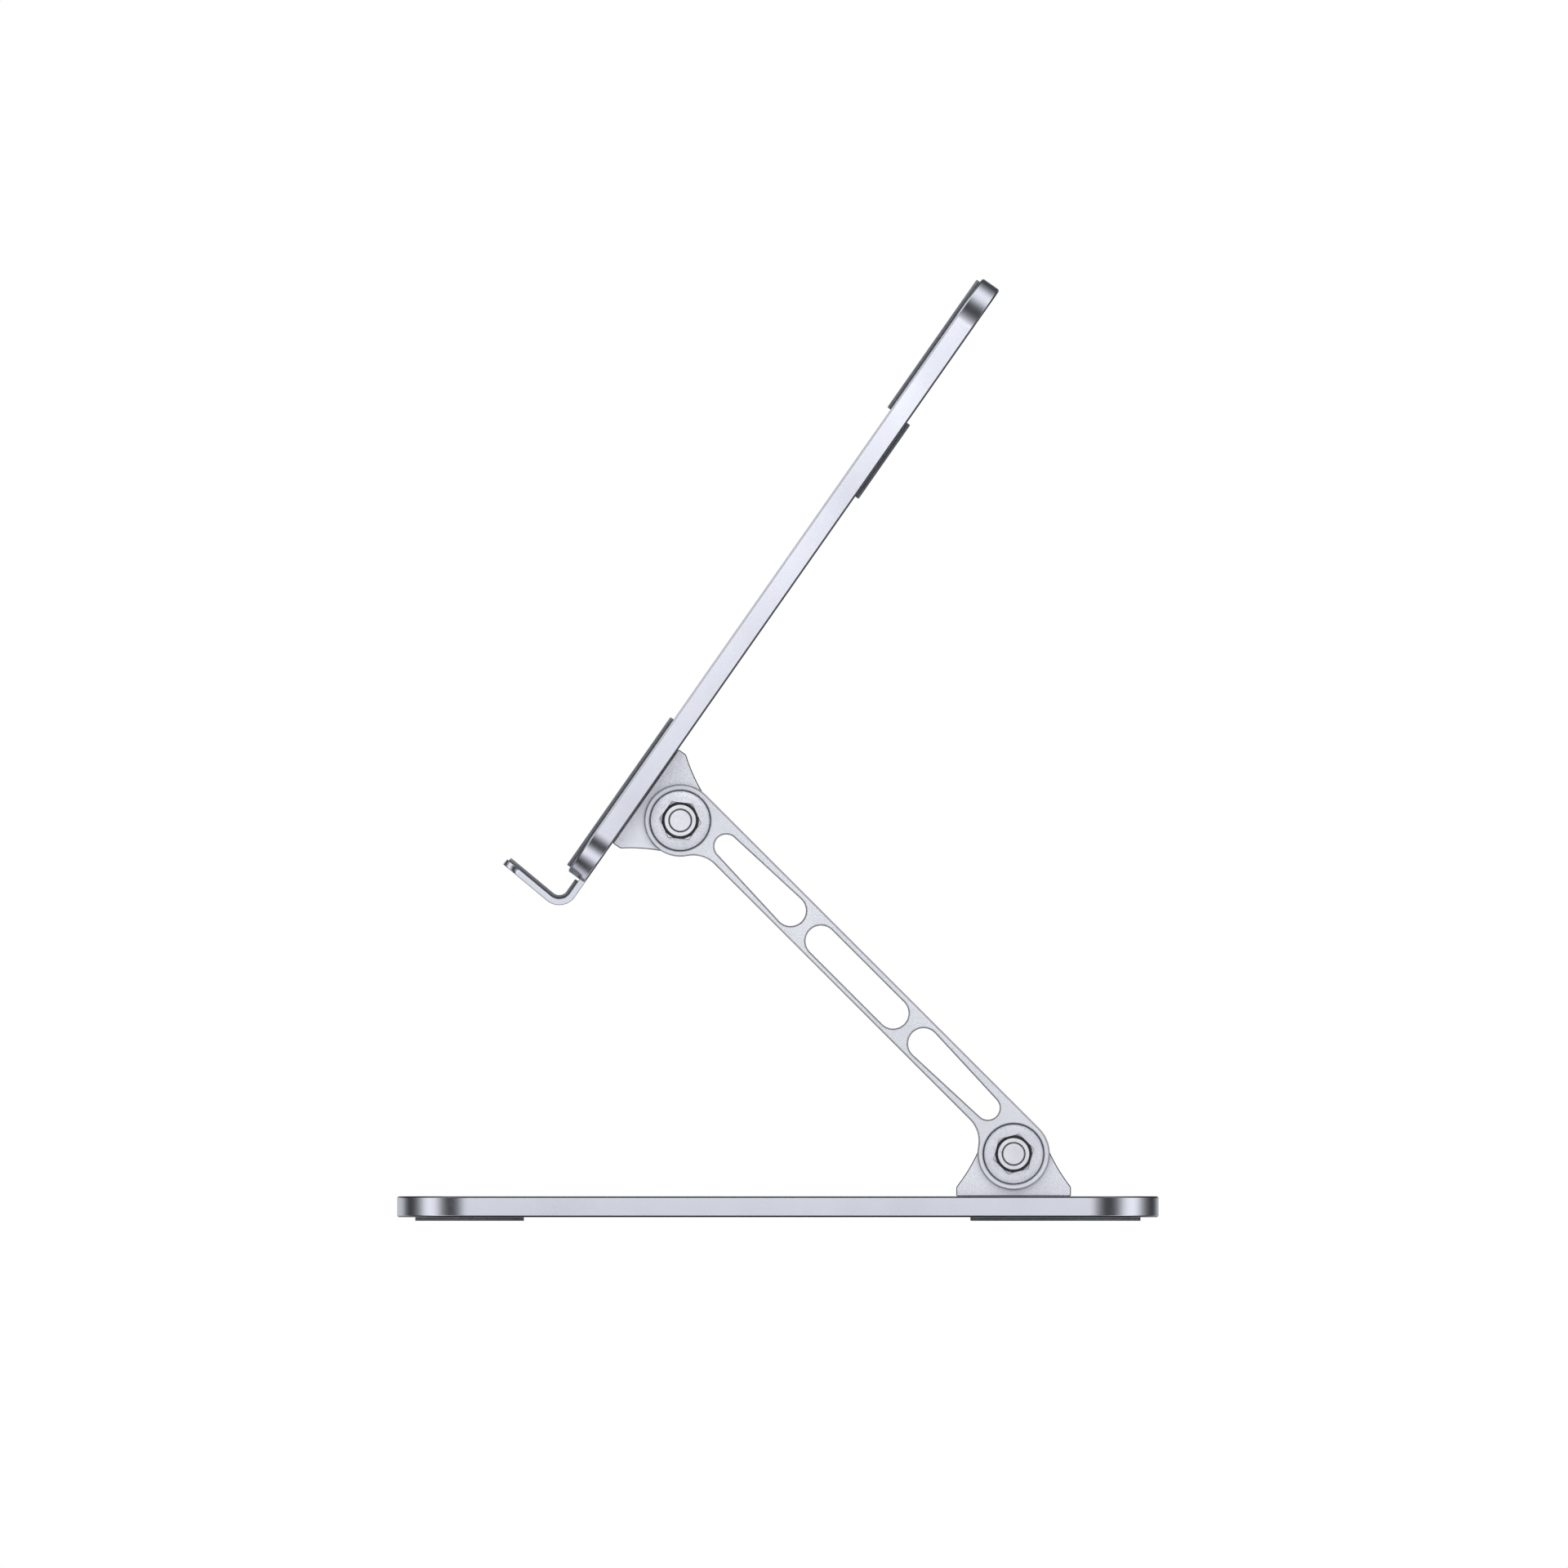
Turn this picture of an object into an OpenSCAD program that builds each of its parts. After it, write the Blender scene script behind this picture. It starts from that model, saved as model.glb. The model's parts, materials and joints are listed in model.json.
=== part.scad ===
// Folding aluminium tablet stand: a base plate, two arms on friction hinges and a padded panel with a lip.
// X runs across the stand, +Y to the rear and +Z up. The origin is the middle of the base, at table level.

/* [Base plate] */
// Depth of the base, front to rear
base_depth = 168; // [150:1:200]
// Width of the base
base_width = 130; // [110:1:170]
// Thickness of the base plate
base_thick = 4.65; // [4:0.05:8]
// Radius of the base corners
base_corner = 16; // [14:0.5:24]
// Distance from the rear edge to the lower hinge
hinge_from_rear = 32; // [26:0.5:40]

/* [Feet] */
// Diameter of each round foot
foot_d = 24; // [12:0.5:26]
// Thickness of the feet and of the cover pad
foot_thick = 0.78; // [0.6:0.02:1.6]
// Distance from the base edge to a foot
foot_inset = 4; // [3:0.25:8]
// Width of the pad over the screws under the base
cover_pad_width = 42; // [38:0.5:60]
// Depth of the pad over the screws under the base
cover_pad_depth = 19.1; // [18.5:0.1:30]

/* [Panel] */
// Height of the panel along its slope
panel_height = 159.6; // [130:0.2:180]
// Width of the panel
panel_width = 120; // [104:1:160]
// Thickness of the panel
panel_thick = 4.65; // [4:0.05:8]
// Radius of the panel corners
panel_corner = 11; // [6:0.5:20]
// Slope of the panel above the table, at rest
panel_angle = 55; // [50:1:60]
// Distance along the slope from the panel's lower end to the upper hinge
panel_hinge_up = 23.35; // [20:0.05:28]

/* [Arms] */
// Distance between the two hinge axes
arm_length = 104; // [90:1:120]
// Angle of the arms above the table, measured from the front, at rest
arm_angle = 45; // [40:1:50]
// Thickness of one arm
arm_thick = 7; // [6.5:0.1:10]
// Radius of the round boss at each end of an arm
boss_r = 8; // [7.8:0.05:8.4]
// Height of the arm's lower edge below the line between the axes
arm_under = 1.5; // [0.5:0.1:2.5]
// Radius of the hollow between a boss and the lower edge
boss_fillet = 6.7; // [4:0.1:9]
// Height of the slots' centre line above the line between the axes
slot_rise = 3.15; // [2.9:0.05:3.3]
// Radius of the wide slot ends
slot_r = 3.4; // [2.8:0.1:3.5]
// Radius of the narrow slot ends, next to the bosses
slot_narrow_r = 2.6; // [2:0.1:2.8]
// Distance from an axis to the centre of the nearest slot end
slot_from_axis = 11.2; // [11:0.1:13]
// Length between the end centres of each outer slot
slot_outer_length = 20.05; // [12:0.05:22]
// Length between the end centres of the middle slot
slot_middle_length = 22.5; // [10:0.1:24]

/* [Hinges] */
// Distance from a hinge axis to the plate that carries its bracket
hinge_rise = 9.34; // [9.2:0.02:14]
// Width of each bracket, across the stand
bracket_width = 44; // [40:0.5:60]
// Length of a bracket's foot
bracket_foot = 25.3; // [23:0.1:30]
// Height of the upright edge at each end of a bracket's foot
bracket_edge = 2.05; // [1.5:0.05:3]
// Radius of a bracket's round top
bracket_top_r = 7.5; // [6:0.1:7.6]
// Radius of the hollow flanks of a bracket
bracket_flank_r = 38; // [30:1:60]
// Diameter of the hinge bolts
bolt_d = 5; // [4:0.5:5.5]
// Distance across the flats of the lock nuts
nut_flats = 8; // [7.6:0.1:9]
// Height of the lock nuts
nut_height = 5; // [4.6:0.1:6]
// Diameter of the bolt heads
bolt_head_d = 8.5; // [8:0.1:10]
// Height of the bolt heads
bolt_head_height = 3.5; // [3:0.1:5]
// Radius of the recess in each boss
recess_r = 6.75; // [6.6:0.05:6.8]
// Depth of the recess in each boss
recess_depth = 4.5; // [3.5:0.1:4.8]
// Thickness of the disc spring in each recess
disc_thick = 0.7; // [0.5:0.05:1]
// Wall of the flanged bushes
bush_wall = 0.95; // [0.6:0.05:1]
// Length of the flanged bushes inside a bracket
bush_length = 12; // [6:0.5:16]
// Thickness of a bush's flange, between bracket and arm
bush_flange = 0.6; // [0.4:0.05:1.2]
// Radius of a bush's flange
bush_flange_r = 7.2; // [6:0.1:7.4]

/* [Lip] */
// Width of each hook
hook_width = 24; // [16:0.5:30]
// Distance from the middle of the stand to the middle of a hook
hook_x = 37; // [35:0.5:42]
// Thickness of the hook strip
hook_thick = 1.45; // [1.2:0.05:1.8]
// Distance from the panel's lower end to the hook's outer corner
hook_drop = 8.4; // [7.5:0.1:12]
// Length of the lip, from the outer corner to its tip
lip_length = 17.26; // [12:0.02:22]
// Angle between the panel and the lip
lip_angle = 85.3; // [80:0.1:95]
// Outer radius of the bend
bend_r = 4.25; // [3.5:0.05:5]
// Radius of the lip's tip corners
lip_corner = 3.65; // [2:0.05:6]
// Height of the hook's tail, set in the panel's back
tail_height = 18; // [12:0.5:24]
// Thickness of the lip's soft liner
liner_thick = 0.8; // [0.5:0.05:1]

/* [Pads] */
// Thickness of the panel's pads
pad_thick = 0.9; // [0.5:0.05:1]
// Distance from the panel's edge to a front pad
pad_inset = 1; // [0.8:0.05:3]
// Height of the upper front pad
upper_pad_height = 34.4; // [20:0.1:50]
// Height of the lower front pad, over the bracket's screws
lower_pad_height = 39.8; // [34:0.1:60]
// Radius of the pads' inner corners
pad_corner = 3; // [1:0.25:8]
// Distance from the upper hinge to the back pad
back_pad_from_hinge = 80.65; // [70:0.05:82]
// Height of the back pad
back_pad_height = 19.9; // [10:0.1:22]
// Width of the back pad
back_pad_width = 70; // [62:0.5:90]

/* [Screws] */
// Thread diameter of the bracket screws
screw_d = 3; // [2.5:0.1:3.5]
// Length of the bracket screws
screw_length = 10; // [8:0.5:11]
// Distance between bracket screws across the stand
screw_pitch_x = 30; // [20:0.5:32]
// Distance between bracket screws along the foot
screw_pitch_y = 12; // [11.6:0.1:12.6]
// Thread diameter of the hook screws
hook_screw_d = 2.5; // [2:0.1:2.6]
// Length of the hook screws
hook_screw_length = 4; // [3:0.1:4.4]
// Distance between the two screws of a hook
hook_screw_pitch = 13; // [9:0.5:14]

/* [Edges and fits] */
// Chamfer on the edges of the two plates
plate_chamfer = 0.35; // [0.1:0.05:0.6]
// Chamfer on the edges of the arms
arm_chamfer = 0.3; // [0.1:0.05:0.4]
// Radial clearance of every running or screwed fit
run_gap = 0.05; // [0.03:0.01:0.1]
// Clearance between faces that are stacked along a hinge
face_gap = 0.03; // [0.02:0.01:0.1]
// Clearance round the hook tails and round the disc springs
seat_gap = 0.12; // [0.1:0.01:0.2]

/* [Hidden] */
$fn = 96;

ALUMINIUM = [0.84, 0.85, 0.89];
STEEL = [0.74, 0.75, 0.78];
RUBBER = [0.33, 0.35, 0.38];
POLYMER = [0.2, 0.2, 0.22];

// How far a cutter reaches past the solid that it cuts
over = 1;
// Flats round the bend of a hook
BEND_STEPS = 20;
// Radius of a countersunk head for a thread of diameter 1
HEAD_SHARE = 0.93;
// Room left past the tip of a screw in its tapped hole
tap_room = 0.2;
// Corner radius of the cover pad
cover_pad_corner = 2;
// Corner radius at the top of a hook's tail
tail_corner = 3;
// Corner radius at the top of a liner
liner_top_corner = 1;
// Share of a tail's height at which its screws sit
TAIL_SCREW_SHARE = 0.6;
// How far a liner stays inside the edges of its hook
liner_side = 0.5;

base_top = foot_thick + base_thick;
lower_axis = [0, base_depth / 2 - hinge_from_rear, base_top + hinge_rise];
upper_axis = lower_axis + [0, -arm_length * cos(arm_angle), arm_length * sin(arm_angle)];

// Places along the hinge bolts, from the middle of the stand outwards
arm_in = bracket_width / 2 + bush_flange + 2 * face_gap;
arm_out = arm_in + arm_thick;
disc_in = arm_out - recess_depth + face_gap;
clamp_in = disc_in + disc_thick + face_gap;
nut_out = clamp_in + nut_height;

bolt_r = bolt_d / 2;
bore_r = bolt_r + run_gap;
bush_r = bore_r + bush_wall;
bush_seat_r = bush_r + run_gap;

// Heights in the panel's own frame: x across, y up the slope, z out of its front, hinge axis at y = z = 0
panel_back = hinge_rise;
panel_front = panel_back + panel_thick;
panel_low = -panel_hinge_up;
panel_high = panel_low + panel_height;

// The hook's corner, and the stretch of each side that its bend takes up
hook_corner = [0, panel_low - hook_drop, panel_back];
bend_reach = bend_r / tan(lip_angle / 2);
tail_end = hook_drop + tail_height;
liner_start = hook_drop - liner_side;
hook_screw_up = hook_drop + tail_height * TAIL_SCREW_SHARE;

// The bracket's flank is an arc through the end of the foot, touching the round top
flank_foot = [bracket_foot / 2, bracket_edge - hinge_rise];
flank_reach = bracket_flank_r + bracket_top_r;
foot_reach = norm(flank_foot);
flank_cos = (flank_reach ^ 2 + foot_reach ^ 2 - bracket_flank_r ^ 2) / (2 * flank_reach * foot_reach);
flank_turn = atan2(flank_foot[1], flank_foot[0]) + acos(flank_cos);
flank_centre = polar(flank_reach, flank_turn);

// Ways of placing and of drawing that several pieces share

// Stands a drawing in X and Y upright: its X becomes Y, its Y becomes Z and its thickness runs along X
module upright() {
    rotate([90, 0, 90])
        children();
}

// Both sides of the stand: sign is -1 on the left and 1 on the right
module on_side(sign) {
    if (sign > 0)
        children();
    else
        mirror([1, 0, 0])
            children();
}

module in_panel_frame() {
    translate(upper_axis)
        rotate([panel_angle, 0, 0])
            children();
}

module in_arm_frame() {
    translate(upper_axis)
        rotate([-arm_angle, 0, 0])
            children();
}

// A round post along Z, with chamfered ends
module post(r, h, c) {
    rotate_extrude()
        polygon([[0, 0], [r - c, 0], [r, c], [r, h - c], [r - c, h], [0, h]]);
}

// A bar along X from y_low to y_high, with its long edges chamfered
module bar(length, y_low, y_high, h, c) {
    upright()
        linear_extrude(height = length)
            polygon([
                [y_low + c, 0], [y_high - c, 0], [y_high, c], [y_high, h - c],
                [y_high - c, h], [y_low + c, h], [y_low, h - c], [y_low, c]
            ]);
}

// A cutter for a round hole through a slab of thickness h, flared at both mouths
module flared_hole(r, h, c) {
    rotate_extrude()
        polygon([
            [0, -over], [r + c + over, -over], [r, c],
            [r, h - c], [r + c + over, h + over], [0, h + over]
        ]);
}

// A flat plate with round corners and chamfered edges, centred in X and Y
module plate(width, depth, h, r, c) {
    translate([-(width - 2 * r) / 2, 0, 0])
        bar(width - 2 * r, -depth / 2, depth / 2, h, c);
    rotate([0, 0, 90])
        translate([-(depth - 2 * r) / 2, 0, 0])
            bar(depth - 2 * r, -width / 2, width / 2, h, c);
    for (x = [-1, 1], y = [-1, 1])
        translate([x * (width / 2 - r), y * (depth / 2 - r), 0])
            post(r, h, c);
}

// A rectangle from [x0, y0] to [x1, y1] with its own radius at the low and at the high end in Y
module rounded_area(x0, x1, y0, y1, r_low, r_high) {
    translate([x0, y0 + r_low])
        square([x1 - x0, y1 - y0 - r_low - r_high]);
    for (end = [[y0, r_low, 1], [y1, r_high, -1]]) {
        r = end[1];
        if (r > 0) {
            translate([x0 + r, end[2] > 0 ? end[0] : end[0] - r])
                square([x1 - x0 - 2 * r, r]);
            for (x = [x0 + r, x1 - r])
                translate([x, end[0] + end[2] * r])
                    circle(r);
        }
    }
}

// Hinge parts, lying along Z with the middle of the stand at z = 0

module along_x() {
    rotate([0, 90, 0])
        children();
}

module hinge_bolt() {
    head_r = bolt_head_d / 2;
    end = nut_out;
    tip = 0.2;
    soft = 0.35;
    socket_depth = bolt_head_height * 0.6;
    socket_r = bolt_d * 0.3 / cos(30);
    along_x()
        difference() {
            rotate_extrude()
                polygon([
                    [0, -clamp_in - bolt_head_height], [head_r - soft, -clamp_in - bolt_head_height],
                    [head_r, soft - clamp_in - bolt_head_height], [head_r, -clamp_in],
                    [bolt_r, -clamp_in], [bolt_r, end - tip], [bolt_r - tip, end], [0, end]
                ]);
            translate([0, 0, -clamp_in - bolt_head_height - over])
                cylinder(h = socket_depth + over, r = socket_r, $fn = 6);
        }
}

// A lock nut: a hexagon with turned corners and a round collar that holds the insert
module hinge_nut(turn) {
    hex_height = nut_height * 0.76;
    corner_r = nut_flats / 2 / cos(30);
    drop = (corner_r - nut_flats / 2) * tan(30) * 1.3;
    turned_r = corner_r + 0.2;
    collar_r = nut_flats / 2 - 0.08;
    roll = 0.55;
    along_x()
        rotate([0, 0, turn])
            translate([0, 0, clamp_in])
                difference() {
                    union() {
                        intersection() {
                            cylinder(h = hex_height, r = corner_r, $fn = 6);
                            rotate_extrude()
                                polygon([
                                    [0, 0], [nut_flats / 2, 0], [turned_r, drop],
                                    [turned_r, hex_height - drop],
                                    [nut_flats / 2, hex_height], [0, hex_height]
                                ]);
                        }
                        rotate_extrude() {
                            square([collar_r - roll, nut_height]);
                            square([collar_r, nut_height - roll]);
                            translate([collar_r - roll, nut_height - roll])
                                circle(roll);
                        }
                    }
                    translate([0, 0, -over])
                        cylinder(h = nut_height + 2 * over, r = bore_r);
                }
}

// The pair of disc springs, one in each arm's recess, slightly domed towards the middle
module disc_springs() {
    outer = recess_r - seat_gap;
    edge = 0.1;
    rim_top = disc_thick - 0.06;
    crown_r = nut_flats / 2 + 1;
    for (sign = [-1, 1])
        on_side(sign)
            along_x()
                translate([0, 0, disc_in])
                    rotate_extrude()
                        polygon([
                            [bore_r, 0], [outer - edge, 0], [outer, edge],
                            [outer, rim_top - edge], [outer - edge, rim_top],
                            [crown_r, disc_thick], [bore_r, disc_thick]
                        ]);
}

// A flanged bush: its sleeve sits in the bracket and its flange spaces the arm off it
module bush() {
    along_x()
        rotate_extrude()
            polygon([
                [bore_r, bracket_width / 2 - bush_length],
                [bush_r, bracket_width / 2 - bush_length],
                [bush_r, bracket_width / 2 + face_gap],
                [bush_flange_r, bracket_width / 2 + face_gap],
                [bush_flange_r, bracket_width / 2 + face_gap + bush_flange],
                [bore_r, bracket_width / 2 + face_gap + bush_flange]
            ]);
}

// A bracket with its axis at the origin and its foot at z = -hinge_rise, with holes for four screws
module bracket() {
    tap_depth = screw_length - min(base_thick, panel_thick) + tap_room;
    difference() {
        translate([-bracket_width / 2, 0, 0])
            upright()
                linear_extrude(height = bracket_width) {
                    difference() {
                        translate([-bracket_foot / 2, -hinge_rise])
                            square([bracket_foot, hinge_rise + bracket_top_r * sin(flank_turn)]);
                        for (side = [-1, 1])
                            translate([side * flank_centre[0], flank_centre[1]])
                                circle(bracket_flank_r);
                    }
                    circle(bracket_top_r);
                }
        along_x()
            cylinder(h = bracket_width + 2 * over, r = bush_seat_r, center = true);
        at_screws()
            translate([0, 0, -hinge_rise - over])
                cylinder(h = tap_depth + over, r = screw_d / 2 + run_gap);
    }
}

module at_screws() {
    for (x = [-1, 1], y = [-1, 1])
        translate([x * screw_pitch_x / 2, y * screw_pitch_y / 2, 0])
            children();
}

// Countersunk screws: head up at z = 0, thread down; gap > 0 makes the cutter for its hole
module countersunk(d, length, gap) {
    head_r = d * HEAD_SHARE + gap;
    r = d / 2 + gap;
    mouth = gap > 0 ? over : 0;
    socket_depth = d * 0.4;
    socket_r = d / 3 / cos(30);
    difference() {
        rotate_extrude()
            polygon([
                [0, mouth], [head_r, mouth], [head_r, 0],
                [r, r - head_r], [r, -length - gap], [0, -length - gap]
            ]);
        if (gap == 0)
            translate([0, 0, -socket_depth])
                cylinder(h = socket_depth + over, r = socket_r, $fn = 6);
    }
}

// Base

module base_plate() {
    color(ALUMINIUM)
        difference() {
            translate([0, 0, foot_thick])
                plate(base_width, base_depth, base_thick, base_corner, plate_chamfer);
            translate([0, lower_axis[1], foot_thick])
                at_screws()
                    rotate([180, 0, 0])
                        countersunk(screw_d, screw_length, run_gap);
        }
}

module foot(x, y) {
    from_edge = foot_inset + foot_d / 2;
    color(RUBBER)
        translate([x * (base_width / 2 - from_edge), y * (base_depth / 2 - from_edge), 0])
            cylinder(h = foot_thick, d = foot_d);
}

module foot_front_left() {
    foot(-1, -1);
}

module foot_front_right() {
    foot(1, -1);
}

module foot_rear_left() {
    foot(-1, 1);
}

module foot_rear_right() {
    foot(1, 1);
}

module base_cover_pad() {
    w = cover_pad_width / 2;
    d = cover_pad_depth / 2;
    color(RUBBER)
        translate([0, lower_axis[1], 0])
            linear_extrude(height = foot_thick)
                rounded_area(-w, w, -d, d, cover_pad_corner, cover_pad_corner);
}

module base_bracket() {
    color(ALUMINIUM)
        translate(lower_axis)
            bracket();
}

module base_bracket_screws() {
    color(STEEL)
        translate([0, lower_axis[1], foot_thick])
            at_screws()
                rotate([180, 0, 0])
                    countersunk(screw_d, screw_length, 0);
}

module lower_bush_left() {
    color(POLYMER)
        translate(lower_axis)
            on_side(-1)
                bush();
}

module lower_bush_right() {
    color(POLYMER)
        translate(lower_axis)
            on_side(1)
                bush();
}

// Arms

// A tapered slot from x0 to x1 with end radii r0 and r1, through thickness h and flared at both mouths
module slot(x0, r0, x1, r1, h, c) {
    lean = asin((r1 - r0) / (x1 - x0));
    inward = max(r0, r1);
    translate([x0, 0, 0])
        flared_hole(r0, h, c);
    translate([x1, 0, 0])
        flared_hole(r1, h, c);
    for (side = [0, 1])
        mirror([0, side, 0])
            translate([x0 - r0 * sin(lean), r0 * cos(lean), 0])
                rotate([0, 0, lean])
                    upright()
                        linear_extrude(height = (x1 - x0) * cos(lean))
                            polygon([
                                [-inward, -over], [c + over, -over], [0, c],
                                [0, h - c], [c + over, h + over], [-inward, h + over]
                            ]);
}

// The hollow between a boss at the origin and the arm's lower edge
module boss_hollow(h, c) {
    down = arm_under + boss_fillet;
    along = sqrt((boss_r + boss_fillet) ^ 2 - down ^ 2);
    difference() {
        linear_extrude(height = h)
            polygon([[0, 0], [along, -down], [along, 0]]);
        translate([along, -down, 0])
            flared_hole(boss_fillet, h, c);
    }
}

// The recess in a boss, open at z = h, with the bolt's hole through its floor
module boss_recess(h, c) {
    rim = 0.2;
    rotate_extrude()
        polygon([
            [0, h - recess_depth], [recess_r, h - recess_depth], [recess_r, h - rim],
            [recess_r + rim + over, h + over], [0, h + over]
        ]);
    translate([0, 0, -over])
        cylinder(h = h + 2 * over, r = bore_r);
}

// One arm lying flat: the upper axis at the origin, the lower one at x = arm_length, its outer face up
module flat_arm() {
    h = arm_thick;
    c = arm_chamfer;
    outer_end = slot_from_axis + slot_outer_length;
    middle = arm_length / 2;
    difference() {
        union() {
            bar(arm_length, -arm_under, boss_r, h, c);
            for (end = [0, 1])
                translate([end * arm_length, 0, 0])
                    mirror([end, 0, 0]) {
                        post(boss_r, h, c);
                        boss_hollow(h, c);
                    }
        }
        for (end = [0, 1])
            translate([end * arm_length, 0, 0])
                mirror([end, 0, 0]) {
                    boss_recess(h, c);
                    translate([0, slot_rise, 0])
                        slot(slot_from_axis, slot_narrow_r, outer_end, slot_r, h, c);
                }
        translate([0, slot_rise, 0])
            slot(middle - slot_middle_length / 2, slot_r, middle + slot_middle_length / 2, slot_r, h, c);
    }
}

module arm(sign) {
    color(ALUMINIUM)
        on_side(sign)
            in_arm_frame()
                translate([arm_in, 0, 0])
                    upright()
                        flat_arm();
}

module arm_left() {
    arm(-1);
}

module arm_right() {
    arm(1);
}

module lower_bolt() {
    color(STEEL)
        translate(lower_axis)
            hinge_bolt();
}

module lower_nut() {
    color(STEEL)
        translate(lower_axis)
            hinge_nut(44.5);
}

module lower_disc_springs() {
    color(STEEL)
        translate(lower_axis)
            disc_springs();
}

// Upper hinge

module upper_bolt() {
    color(STEEL)
        translate(upper_axis)
            hinge_bolt();
}

module upper_nut() {
    color(STEEL)
        translate(upper_axis)
            hinge_nut(23.8);
}

module upper_disc_springs() {
    color(STEEL)
        translate(upper_axis)
            disc_springs();
}

module upper_bush_left() {
    color(POLYMER)
        translate(upper_axis)
            on_side(-1)
                bush();
}

module upper_bush_right() {
    color(POLYMER)
        translate(upper_axis)
            on_side(1)
                bush();
}

// Panel

module panel_plate() {
    tail_w = hook_width / 2 + seat_gap;
    pocket_top = hook_corner[1] + tail_end + seat_gap;
    pocket_r = tail_corner + seat_gap;
    color(ALUMINIUM)
        in_panel_frame()
            difference() {
                translate([0, (panel_low + panel_high) / 2, panel_back])
                    plate(panel_width, panel_height, panel_thick, panel_corner, plate_chamfer);
                translate([0, 0, panel_front])
                    at_screws()
                        countersunk(screw_d, screw_length, run_gap);
                for (side = [-1, 1])
                    translate([side * hook_x, 0, panel_back - over])
                        linear_extrude(height = hook_thick + over)
                            rounded_area(-tail_w, tail_w, panel_low - over, pocket_top, 0, pocket_r);
                at_hook_screws()
                    translate([0, 0, -hook_screw_length - tap_room])
                        cylinder(h = hook_screw_length, r = hook_screw_d / 2 + run_gap);
            }
}

module panel_bracket() {
    color(ALUMINIUM)
        in_panel_frame()
            rotate([180, 0, 0])
                bracket();
}

module panel_bracket_screws() {
    color(STEEL)
        in_panel_frame()
            translate([0, 0, panel_front])
                at_screws()
                    countersunk(screw_d, screw_length, 0);
}

// A front pad from y0 to y1, following the panel's corners at the end where it has the panel's radius
module front_pad(y0, y1, r_low, r_high) {
    w = panel_width / 2 - pad_inset;
    color(RUBBER)
        in_panel_frame()
            translate([0, 0, panel_front])
                linear_extrude(height = pad_thick)
                    rounded_area(-w, w, y0, y1, r_low, r_high);
}

module panel_pad_upper() {
    top = panel_high - pad_inset;
    front_pad(top - upper_pad_height, top, pad_corner, panel_corner - pad_inset);
}

module panel_pad_lower() {
    bottom = panel_low + pad_inset;
    front_pad(bottom, bottom + lower_pad_height, panel_corner - pad_inset, pad_corner);
}

module panel_back_pad() {
    w = back_pad_width / 2;
    y = back_pad_from_hinge;
    color(RUBBER)
        in_panel_frame()
            translate([0, 0, panel_back - pad_thick])
                linear_extrude(height = pad_thick)
                    rounded_area(-w, w, y, y + back_pad_height, pad_corner, pad_corner);
}

// Hooks

function polar(r, angle) = r * [cos(angle), sin(angle)];

// Points of an arc round a centre, from one angle to another
function arc(centre, r, from, to) =
    [for (i = [0:BEND_STEPS]) centre + polar(r, from + (to - from) * i / BEND_STEPS)];

// Takes a corner off a slab: the corner is at the origin and the slab lies on its +X, +Y side
module corner_cut(r, t) {
    translate([0, 0, -over])
        linear_extrude(height = t + 2 * over)
            difference() {
                translate([-over, -over])
                    square(r + over);
                translate([r, r])
                    circle(r);
            }
}

// A strip that follows the hook from start to lip_end, between depths d0 and d1 under its outer face.
// Its side outline runs down the tail, round the bend and out along the lip, and back along the other face.
module bent_strip(w, d0, d1, start, r_start, lip_end, r_tip) {
    centre = [bend_reach, bend_r];
    along = polar(1, lip_angle);
    inward = polar(1, lip_angle - 90);
    difference() {
        translate([-w, 0, 0])
            upright()
                linear_extrude(height = 2 * w)
                    polygon(concat(
                        [[start, d1], [start, d0]],
                        arc(centre, bend_r - d0, 270, 90 + lip_angle),
                        [along * lip_end + inward * d0, along * lip_end + inward * d1],
                        arc(centre, bend_r - d1, 90 + lip_angle, 270)
                    ));
        for (side = [0, 1])
            mirror([side, 0, 0]) {
                translate([-w, start, d0])
                    mirror([0, 1, 0])
                        corner_cut(r_start, d1 - d0);
                rotate([lip_angle, 0, 0])
                    translate([-w, lip_end, -d1])
                        mirror([0, 1, 0])
                            corner_cut(r_tip, d1 - d0);
            }
    }
}

module at_hook(side) {
    in_panel_frame()
        translate([side * hook_x, 0, 0] + hook_corner)
            children();
}

// The hook screws' places, in the panel's frame, on the hooks' outer faces
module at_hook_screws() {
    for (side = [-1, 1], x = [-1, 1])
        translate([side * hook_x + x * hook_screw_pitch / 2, hook_corner[1] + hook_screw_up, panel_back])
            rotate([180, 0, 0])
                children();
}

module hook(side) {
    color(ALUMINIUM)
        difference() {
            at_hook(side)
                bent_strip(hook_width / 2, 0, hook_thick, tail_end, tail_corner, lip_length, lip_corner);
            in_panel_frame()
                at_hook_screws()
                    countersunk(hook_screw_d, hook_screw_length, run_gap);
        }
}

module hook_left() {
    hook(-1);
}

module hook_right() {
    hook(1);
}

module hook_liner(side) {
    w = hook_width / 2 - liner_side;
    inside = hook_thick + liner_thick;
    end = lip_length - liner_side;
    tip_r = lip_corner - liner_side;
    color(RUBBER)
        at_hook(side)
            bent_strip(w, hook_thick, inside, liner_start, liner_top_corner, end, tip_r);
}

module hook_liner_left() {
    hook_liner(-1);
}

module hook_liner_right() {
    hook_liner(1);
}

module hook_screws() {
    color(STEEL)
        in_panel_frame()
            at_hook_screws()
                countersunk(hook_screw_d, hook_screw_length, 0);
}

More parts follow.
